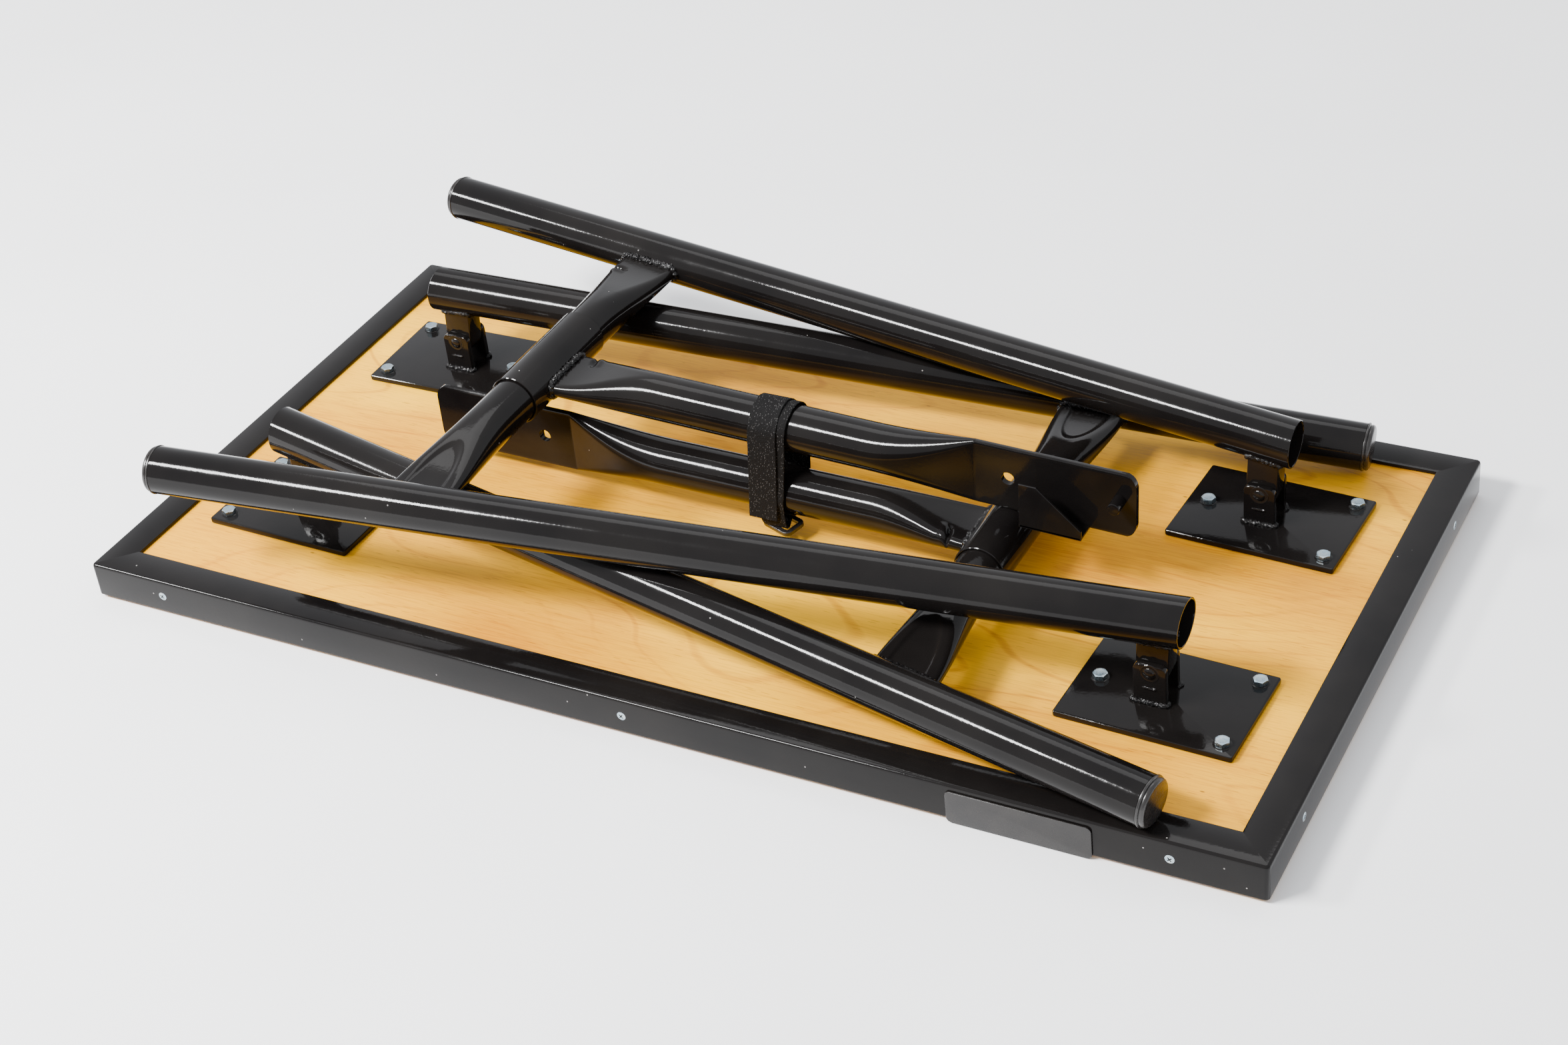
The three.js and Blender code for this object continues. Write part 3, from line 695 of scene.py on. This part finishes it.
def add_ear_welds(name, pin, seed):
    """A bead round three sides of each ear's foot, and a short one on its outer face."""
    welds = Build()
    foot, half = PLATE_TOP - PIN_Z + 0.8, 12.9
    for sign in (-1, 1):
        inner, outer = sign * 9.2, sign * 14.5
        outline = [(half, inner), (half, outer), (-half, outer), (-half, inner)]
        welds.bead([(u, v, foot) for u, v in outline], 2.3, seed=seed + sign)
        welds.bead([(-6, sign * 14.4, -13), (5, sign * 14.4, -13)], 1.1, seed=seed + 3 + sign)
    welds.finish(f"{name}_ear_welds", WELD, "black_paint", "worktop", place=pin, sharp=WELD_SHARP)


def add_pin(name, pin):
    """A riveted pin: a dome in a dished ring, on the outside of each ear."""
    build = Build()
    boss = [(0, 1.7), (2.4, 1.5), (3.9, 0.9), (4.6, 0.1), (5.2, 0), (6.3, 0.25), (7.4, 0.2), (7.9, -0.4),
            (0, -0.4)]
    for sign in (-1, 1):
        build.lathe(boss, 40, (0, sign * 14.3, 0), (0, sign, 0))
    build.lathe([(0, -14), (4, -14), (4, 14), (0, 14)], 32, (0, 0, 0), (0, 1, 0))
    build.finish(f"{name}_pin", PAINT, "black_paint", "worktop", place=pin,
                 replaces=[f"{name}_hinge_pin"])


def add_brackets():
    for number, (name, side, pin, plate) in enumerate(brackets()):
        add_hinge_plate(name, side, pin, plate)
        add_ear_welds(name, pin, number)
        add_pin(name, pin)
        for i, (u, v) in enumerate(BOLT_PLACES, 1):
            spot = Matrix.Translation(plate @ Vector((side * u, v, PLATE_TOP + 0.3)))
            hex_bolt().finish(f"{name}_hex_bolt_{i}", ZINC, "zinc", "worktop",
                              place=spot @ Matrix.Rotation(number + i * 0.8, 4, "Z"),
                              replaces=[f"{name}_plate_bolt_{i}"])


def rounded_ear():
    """An ear's outline about the pin: square at its foot, with two round corners on top."""
    half, top, foot, corner = 12.5, 7, -28, 5
    points = [(half, foot)]
    for start, middle in ((0, half - corner), (pi / 2, corner - half)):
        for i in range(9):
            angle = start + i * pi / 16
            points.append((middle + corner * cos(angle), top - corner + corner * sin(angle)))
    return points + [(-half, foot)]


def hex_bolt():
    """A chamfered hexagon head, 10 mm across flats, standing on z 0."""
    across_flats, height, sides = 10, 4, 72
    angles = [2 * pi * i / sides for i in range(sides)]
    reach = [across_flats / 2 / cos((a + pi / 6) % (pi / 3) - pi / 6) for a in angles]
    rows = [[(r * 0.985, 0) for r in reach], [(r, 0.25) for r in reach]]
    rows.append([(r, height - 0.62 * max(0.12, r - 4.85)) for r in reach])
    rows += [[top] * sides for top in ((4.75, 3.97), (4.4, 4.0), (3.2, 3.86), (0.01, 3.86))]
    return Build().loft([[(r * cos(a), r * sin(a), z) for a, (r, z) in zip(angles, row)] for row in rows])


# ---- leg frames ----------------------------------------------------------------------------------

def leg_tubes(name):
    """Both tubes of a frame in its local axes: y at the pin, y of the stub, plan angle, slope and foot."""
    leg = LEGS[name]
    for end in ("front", "rear"):
        spot = leg[end]
        outward = -leg["side"] * (1 if spot["tube"] > 0 else -1)
        yield {
            "end": end,
            "y": -leg["side"] * spot["tube"],
            "stub_y": -leg["side"] * spot["y"],
            "turn": outward * atan(spot["splay"]),
            "slope": outward * spot["splay"],
            "foot": spot["foot"],
        }


def tube_matrix(name, tube):
    return (leg_place(name) @ Matrix.Translation((0, tube["y"], TUBE_OFFSET))
            @ Matrix.Rotation(tube["turn"], 4, "Z"))


def add_leg_tube(name, tube):
    """A tube, cut at its pin end along the frame's y and square at its foot."""
    turn, end = tube["turn"], tube["end"]
    wall = 1.6                # a touch over the part's
    bore = TUBE_R - wall
    start, stop = -OVERHANG / cos(turn), tube["foot"] / cos(turn)
    length = stop - start
    rows = [(0.25, bore), (0, bore + 0.35), (0, TUBE_R - 0.4), (0.3, TUBE_R), (length, TUBE_R),
            (length, bore)]
    rings = []
    for along, radius in rows:
        lean = tan(turn) if along < 1 else 0
        rings.append([(start + along + lean * radius * c, radius * c, radius * s) for c, s in circle(96)])
    Build().loft(rings, cap=False, loop=True).finish(
        f"{name}_{end}_leg", PAINT, "black_paint", f"{name}_leg_frame", place=tube_matrix(name, tube),
        replaces=[f"{name}_leg_{end}_tube"])


def add_foot_cap(name, tube):
    """A push-in plug: collar, groove and a shallow dome with a flat end."""
    profile = [
        (0, -14), (15.8, -14), (16.6, -12), (17.1, -0.2), (18.8, 0.1), (19.45, 0.5), (19.6, 1.1),
        (19.4, 1.8), (18.7, 2.2), (18.0, 2.5), (17.9, 2.8), (18.3, 3.1), (18.4, 3.8), (18.0, 4.9),
        (17.2, 5.7), (16.2, 6.1), (0, 6.2),
    ]
    end = tube["end"]
    Build().lathe(profile, 72, (tube["foot"] / cos(tube["turn"]), 0, 0), (1, 0, 0)).finish(
        f"{name}_{end}_cap", PLASTIC, "black_plastic", f"{name}_leg_frame",
        place=tube_matrix(name, tube), replaces=[f"{name}_leg_{end}_foot_cap"])


def under_tube(x, y, tube):
    """Height of a leg tube's underside over a point near the pin."""
    across = (y - tube["y"]) * cos(tube["turn"]) - x * sin(tube["turn"])
    return TUBE_OFFSET - sqrt(max(0, TUBE_R ** 2 - across ** 2))


def add_stub(name, tube):
    """The bar between tube and pin, its top shaped to the tube, with a bead all round."""
    middle, end = tube["stub_y"], tube["end"]
    half = 12.5
    outline = rounded_rectangle(half, 9, 1.2, 3)
    rows = []
    for level in range(9):
        drop = half * (level / 8 - 1)
        narrow = sqrt(max(0.02, 1 - (drop / 12.6) ** 2))
        rows.append([(u * narrow, v, drop) for u, v in outline])
    rows.append([(u, v, under_tube(u, middle + v, tube) + 1.0) for u, v in outline])
    build = Build().loft([[(u, middle + v, w) for u, v, w in row] for row in rows])
    build.finish(f"{name}_{end}_stub", PAINT, "black_paint", f"{name}_leg_frame",
                 place=leg_place(name), replaces=[f"{name}_leg_{end}_stub"])
    rim = rounded_rectangle(13.1, 9.6, 2, 3)
    path = [(u, middle + v, under_tube(u, middle + v, tube) - 0.4) for u, v in rim]
    Build().bead(path, 2.1, closed=True, seed=len(end) + LEGS[name]["side"]).finish(
        f"{name}_{end}_stub_weld", WELD, "black_paint", f"{name}_leg_frame",
        place=leg_place(name), sharp=WELD_SHARP)


def crossbar_thickness(reach):
    """Half the crossbar's height at a distance from its crushed end."""
    return CRUSHED_HALF + (TUBE_R - CRUSHED_HALF) * smooth(reach, 2, 108)


def add_crossbar(name):
    """A tube crushed level at both ends. One end of the right one is folded, the others are pressed."""
    tubes = list(leg_tubes(name))
    ends = sorted(tube["y"] + tube["slope"] * CROSSBAR_ALONG for tube in tubes)
    start, stop = ends[0] + TUBE_R - 3, ends[1] - TUBE_R + 3
    length = stop - start
    fine = [k * 0.9 for k in range(78)]
    inner = [70 + (length - 140) * k / 24 for k in range(25)]
    rings = []
    for reach in fine + inner + [length - near for near in fine[::-1]]:
        close = min(reach, length - reach)
        pressed = name == "left" or reach > length - reach
        ring = []
        for wide, thin in crushed_ring(crossbar_thickness(close), 112):
            if pressed:
                dip = tongue(close, wide, thin, 62, 1.5)
            else:
                dip = slit(close, wide, thin, 21)
            ring.append((CROSSBAR_ALONG + wide, start + reach, TUBE_OFFSET + thin - dip))
        rings.append(ring)
    Build().loft(rings).finish(f"{name}_crossbar", PAINT, "black_paint", f"{name}_leg_frame",
                               place=leg_place(name), replaces=[f"{name}_leg_crossbar"])
    weld = Build()
    for seed, tube in enumerate(tubes):
        y, turn, slope = tube["y"], tube["turn"], tube["slope"]
        inward = -1 if y > 0 else 1
        path = []
        for wide, thin in crushed_ring(5.4, 64):
            x = CROSSBAR_ALONG + wide
            reach = sqrt(TUBE_R ** 2 - thin ** 2) / cos(turn)
            path.append((x, y + slope * x + inward * (reach + 0.2), TUBE_OFFSET + thin))
        weld.bead(path, 2.9, closed=True, seed=seed + 5)
    weld.finish(f"{name}_crossbar_welds", WELD, "black_paint", f"{name}_leg_frame",
                place=leg_place(name), sharp=WELD_SHARP)


# ---- braces --------------------------------------------------------------------------------------

def add_sleeve(name):
    shift = LEGS[name]["side"] * 6
    end = SLEEVE_HALF
    edge = [(19.4, end - 0.5), (19.8, end), (20.5, end), (SLEEVE_R, end - 0.5)]
    profile = [(r, -along) for r, along in edge] + edge[::-1]
    rings = [[(r * c, along + shift, r * s) for c, s in circle(96)] for r, along in profile]
    Build().loft(rings, cap=False, loop=True).finish(
        f"{name}_sleeve", PAINT, "black_paint", f"{name}_brace", place=brace_place(name),
        replaces=[f"{name}_brace_sleeve"])


def brace_ring(along, count=96):
    """The brace's section: crushed level at the sleeve, round, then crushed upright into the blade."""
    level_half, blade_half, taper = 5.5, 2.5, 92
    if along < 200:
        half = level_half + (TUBE_R - level_half) * smooth(along, 22, 108)
        ring = crushed_ring(half, count)
        return [(along, wide, thin - slit(along, wide, thin, 37)) for wide, thin in ring]
    t = min(1, max(0, (CREASE - along) / taper))
    half = blade_half + (TUBE_R - blade_half) * sin(t * pi / 2)
    ring = crushed_ring(half, count)
    turned = ring[count // 4:] + ring[:count // 4]
    past = along - (BLADE_END - BLADE_CORNER)
    if past > 0:
        limit = BLADE_HALF_HEIGHT - BLADE_CORNER + sqrt(max(0, BLADE_CORNER ** 2 - past ** 2))
        turned = [(max(-limit, min(limit, wide)), thin) for wide, thin in turned]
    return [(along, -thin, wide) for wide, thin in turned]


def brace_stations():
    """Places along the brace for its sections, closer together where it folds or bends."""
    for start, step, count in ((16, 0.9, 56), (68, 4, 33), (205, 5, 17), (288, 2.5, 38)):
        yield from (start + step * k for k in range(count))
    yield from (382, CREASE, 384, 390)
    yield from (400 + 10 * k for k in range(11))
    corner = BLADE_END - BLADE_CORNER
    yield from (corner + BLADE_CORNER * sin(pi / 2 * k / 10) for k in range(1, 11))


def add_brace(name):
    """The crushed tube with its stud hole, and the bead that holds it to the sleeve."""
    rings = [brace_ring(along) for along in brace_stations()]
    piece = Build().loft(rings).finish(f"{name}_brace_tube", PAINT, "black_paint", f"{name}_brace",
                                       place=brace_place(name), replaces=[f"{name}_brace_bar"])
    bore = [(0, -20), (HOLE_R, -20), (HOLE_R, 20), (0, 20)]
    carve(piece, Build().lathe(bore, 40, (HOLE_ALONG, 0, HOLE_RAISE), (0, 1, 0)), sharp=28)
    path = [(sqrt(SLEEVE_R ** 2 - thin ** 2) + 0.3, wide * 0.98, thin) for wide, thin in crushed_ring(6, 64)]
    Build().bead(path, 3.0, closed=True, seed=2, up=(1, 0, 0)).finish(
        f"{name}_brace_weld", WELD, "black_paint", f"{name}_brace",
        place=brace_place(name), sharp=WELD_SHARP)


def add_stud(name):
    profile = [(0, 0), (STUD_R, 0), (STUD_R, 13.2), (4.6, 13.8), (4, 14), (0, 14)]
    Build().lathe(profile, 40, (STUD_ALONG, -2.4, STUD_RAISE), (0, -1, 0)).finish(
        f"{name}_stud", PAINT, "black_paint", f"{name}_brace", place=brace_place(name),
        replaces=[f"{name}_brace_stud"])


def add_catch(name):
    """A folded tab: a floor under the blade and a sloping lip."""
    start, step, end, wall = 426, 440, 476, 2.6
    outer, bottom = -20, -28.2
    lip = [(start, bottom), (end, bottom), (end, bottom + 8), (step, bottom + 39), (start, bottom + 39)]
    build = Build()
    slab(build, lip, lambda u, v, h: (u, h, v), outer, outer + wall, 0.9)
    floor = [(start, outer), (end, outer), (end, -2.4), (start, -2.4)]
    slab(build, floor, lambda u, v, h: (u, v, h), bottom, bottom + wall, 0.5)
    build.finish(f"{name}_catch_tab", PAINT, "black_paint", f"{name}_brace", place=brace_place(name),
                 replaces=[f"{name}_brace_catch"])


# ---- strap ---------------------------------------------------------------------------------------

STRAP_X = 13
START_ANGLE = 232                     # degrees round the lower brace
TAPE_GAP, TAPE_LAP, SLACK = 0.9, 1.75, 1.1
TAIL_REACH = 1.36                     # of the way from the upper brace to the lower
TUCK_ANGLE, TUCK_SPREAD = 240, 19     # degrees, where the tape dips into the ring
TUCK_DEPTH, TUCK_DRIFT, TUCK_GATHER = 10, 4.5, 0.16
RING_OFFSET = (6, -11.5, -26)         # from the strap's place on the lower brace


def brace_centre_at(name, x):
    """(y, z) of a brace's axis at some x."""
    sleeve = sleeve_centre(name)
    return Vector((sleeve.y, sleeve.z + abs(x - sleeve.x) * tan(radians(BRACES[name]["tilt"]))))


def strap_route():
    """Point, outward normal and share of the full width along the tape: twice round both braces, once
    dipping into the ring, its tail down the front."""
    upper, lower = brace_centre_at("right", STRAP_X), brace_centre_at("left", STRAP_X)
    axis = (upper - lower).normalized()
    side = Vector((axis.y, -axis.x))
    turns = [(lower, START_ANGLE, 360), (upper, 0, 180), (lower, 180, 360), (upper, 0, 180)]
    spots = []
    for number, (centre, start, stop) in enumerate(turns):
        count = round((stop - start) / 6)
        for i in range(count + 1):
            angle = start + (stop - start) * i / count
            dip = exp(-((angle - TUCK_ANGLE) / TUCK_SPREAD) ** 2) if number == 2 else 0
            spots.append((centre, side * cos(radians(angle)) + axis * sin(radians(angle)), dip))
        if centre is upper:
            drop = 0.97 if number == 1 else TAIL_REACH
            spots += [(centre.lerp(lower, drop * k / 10), -side, 0) for k in range(1, 11)]
        else:
            spots += [(centre.lerp(upper, k / 8), side, 0) for k in range(1, 8)]
    for k, (centre, out, dip) in enumerate(spots):
        share = k / (len(spots) - 1)
        slack = SLACK * sin(pi * share * 9) ** 2 * share * (1 - dip)
        at = centre + out * (TUBE_R + TAPE_GAP + TAPE_LAP * share + slack + TUCK_DEPTH * dip)
        drift = 4 - 8 * smooth(share, 0.3, 0.75) + TUCK_DRIFT * dip
        yield Vector((STRAP_X + drift, at.x, at.y)), Vector((0, out.x, out.y)), 1 - TUCK_GATHER * dip


def add_strap():
    """The tape along its route, mapped so that the weave follows it. Also gives its length."""
    route = list(strap_route())
    section = [(12.5, 0.1), (12.1, 0.5), (6, 0.55), (-6, 0.55), (-12.1, 0.5), (-12.5, 0.1),
               (-12.5, -0.1), (-12.1, -0.5), (-6, -0.55), (6, -0.55), (12.1, -0.5), (12.5, -0.1)]
    rings, run = [], []
    length = 0
    for k, (at, out, gather) in enumerate(route):
        length += (at - route[k - 1][0]).length if k else 0
        run.append(length)
        fray = noise.noise(at * 0.4) * 0.35
        rings.append([at + Vector((across * gather + fray, 0, 0)) + out * lift
                      for across, lift in section])
    piece = Build().loft(rings).finish("hook_and_loop_strap_tape", STRAP, "webbing", "left_brace",
                                       replaces=["hook_and_loop_strap"])
    layer = piece.data.uv_layers.new(name="tape")
    for loop in piece.data.loops:
        k, i = divmod(loop.vertex_index, len(section))
        layer.data[loop.index].uv = (section[i][0] * MM, run[min(k, len(run) - 1)] * MM)
    lower = brace_centre_at("left", STRAP_X)
    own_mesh(piece)
    return piece, length


def add_strap_ring():
    """A moulded loop under the lower brace, where the tape turns back."""
    lower = brace_centre_at("left", STRAP_X)
    spot = Vector((STRAP_X, lower.x, lower.y)) + Vector(RING_OFFSET)
    place = (Matrix.Translation(spot) @ Matrix.Rotation(radians(-20), 4, "Z")
             @ Matrix.Rotation(radians(5), 4, "X"))
    rim = rounded_rectangle(13.2, 8.4, 3, 6)
    bar = rounded_rectangle(2.1, 2.0, 0.8, 4)
    rings = []
    for k, (u, v) in enumerate(rim):
        ahead, behind = rim[(k + 1) % len(rim)], rim[k - 1]
        run = Vector((ahead[0] - behind[0], ahead[1] - behind[1])).normalized()
        outward = Vector((run.y, -run.x))
        rings.append([place @ Vector((u + outward.x * across, v + outward.y * across, lift))
                      for across, lift in bar])
    return Build().loft(rings, cap=False, loop=True).finish(
        "strap_ring", PLASTIC, "black_plastic", "left_brace", replaces=["strap_loop"])


PAINT, WELD, PLYWOOD = paint_material(), weld_material(), plywood_material()
ZINC, PLASTIC, STRAP = zinc_material(), plastic_material(), strap_material()

add_camera()
add_studio()
add_panel()
add_rails()
add_badge()
add_rail_screws()
add_brackets()
for leg_name in LEGS:
    for leg_tube in leg_tubes(leg_name):
        add_leg_tube(leg_name, leg_tube)
        add_foot_cap(leg_name, leg_tube)
        add_stub(leg_name, leg_tube)
    add_crossbar(leg_name)
    add_sleeve(leg_name)
    add_brace(leg_name)
    add_stud(leg_name)
    add_catch(leg_name)
tape, tape_length = add_strap()
ring = add_strap_ring()
